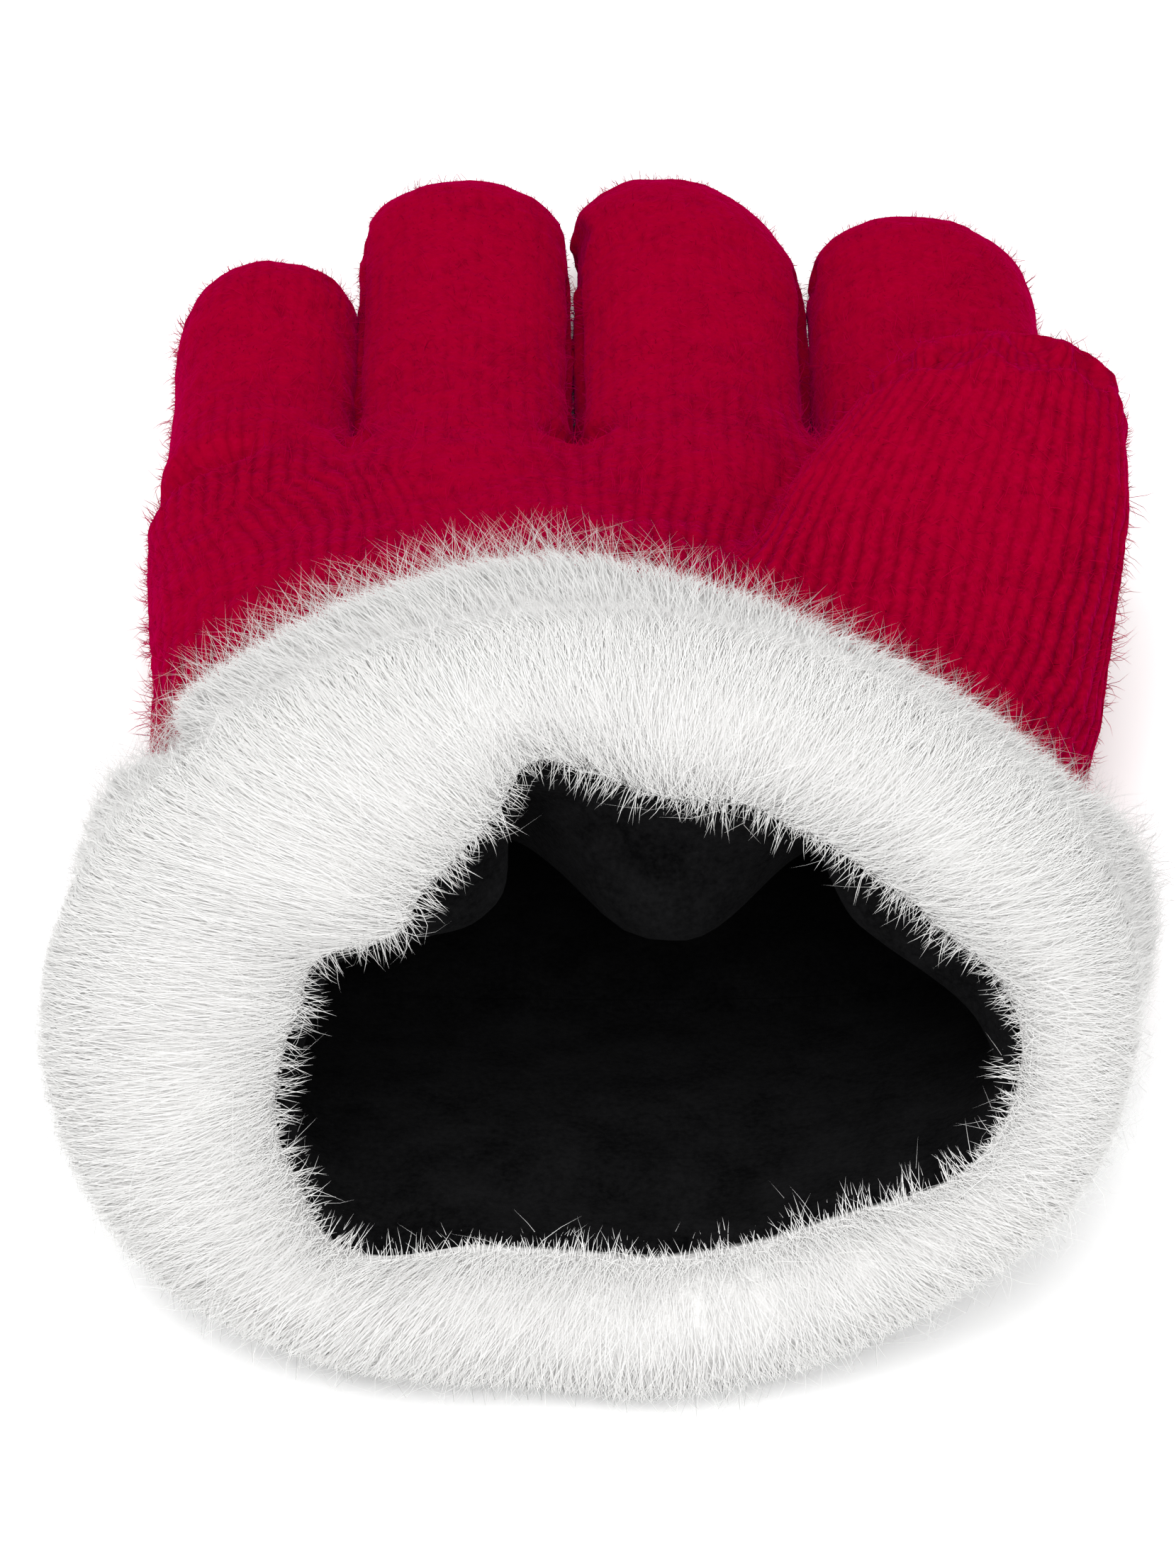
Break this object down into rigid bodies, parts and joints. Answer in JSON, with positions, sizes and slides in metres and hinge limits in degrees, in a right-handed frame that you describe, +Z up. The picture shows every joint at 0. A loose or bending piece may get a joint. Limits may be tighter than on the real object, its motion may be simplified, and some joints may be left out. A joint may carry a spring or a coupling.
{
  "type": "knit glove",
  "caption": "Lined knit glove for a right hand, lying palm up, with stalls for fingers and thumb, a fleece lining and a wide fur cuff propped open at the mouth",
  "frame": {"origin": "on the surface that the glove lies on, under the middle of its bounding box", "axes": "+Y along the fingers, away from the mouth of the cuff; +Z up, out of the palm; +X to the thumb side"},
  "size_m": [0.1272, 0.2253, 0.0778],
  "materials": {
    "knit": "brushed stockinette knit in deep red yarn with a soft raised nap",
    "fleece": "matt black brushed fleece with a short dense pile",
    "fur": "dense soft white imitation fur, pile about fifteen to twenty millimetres long"
  },
  "bodies": {
    "root": {"knit_hand": "knit", "fleece_lining": "fleece", "fur_cuff": "fur"}
  },
  "joints": []
}
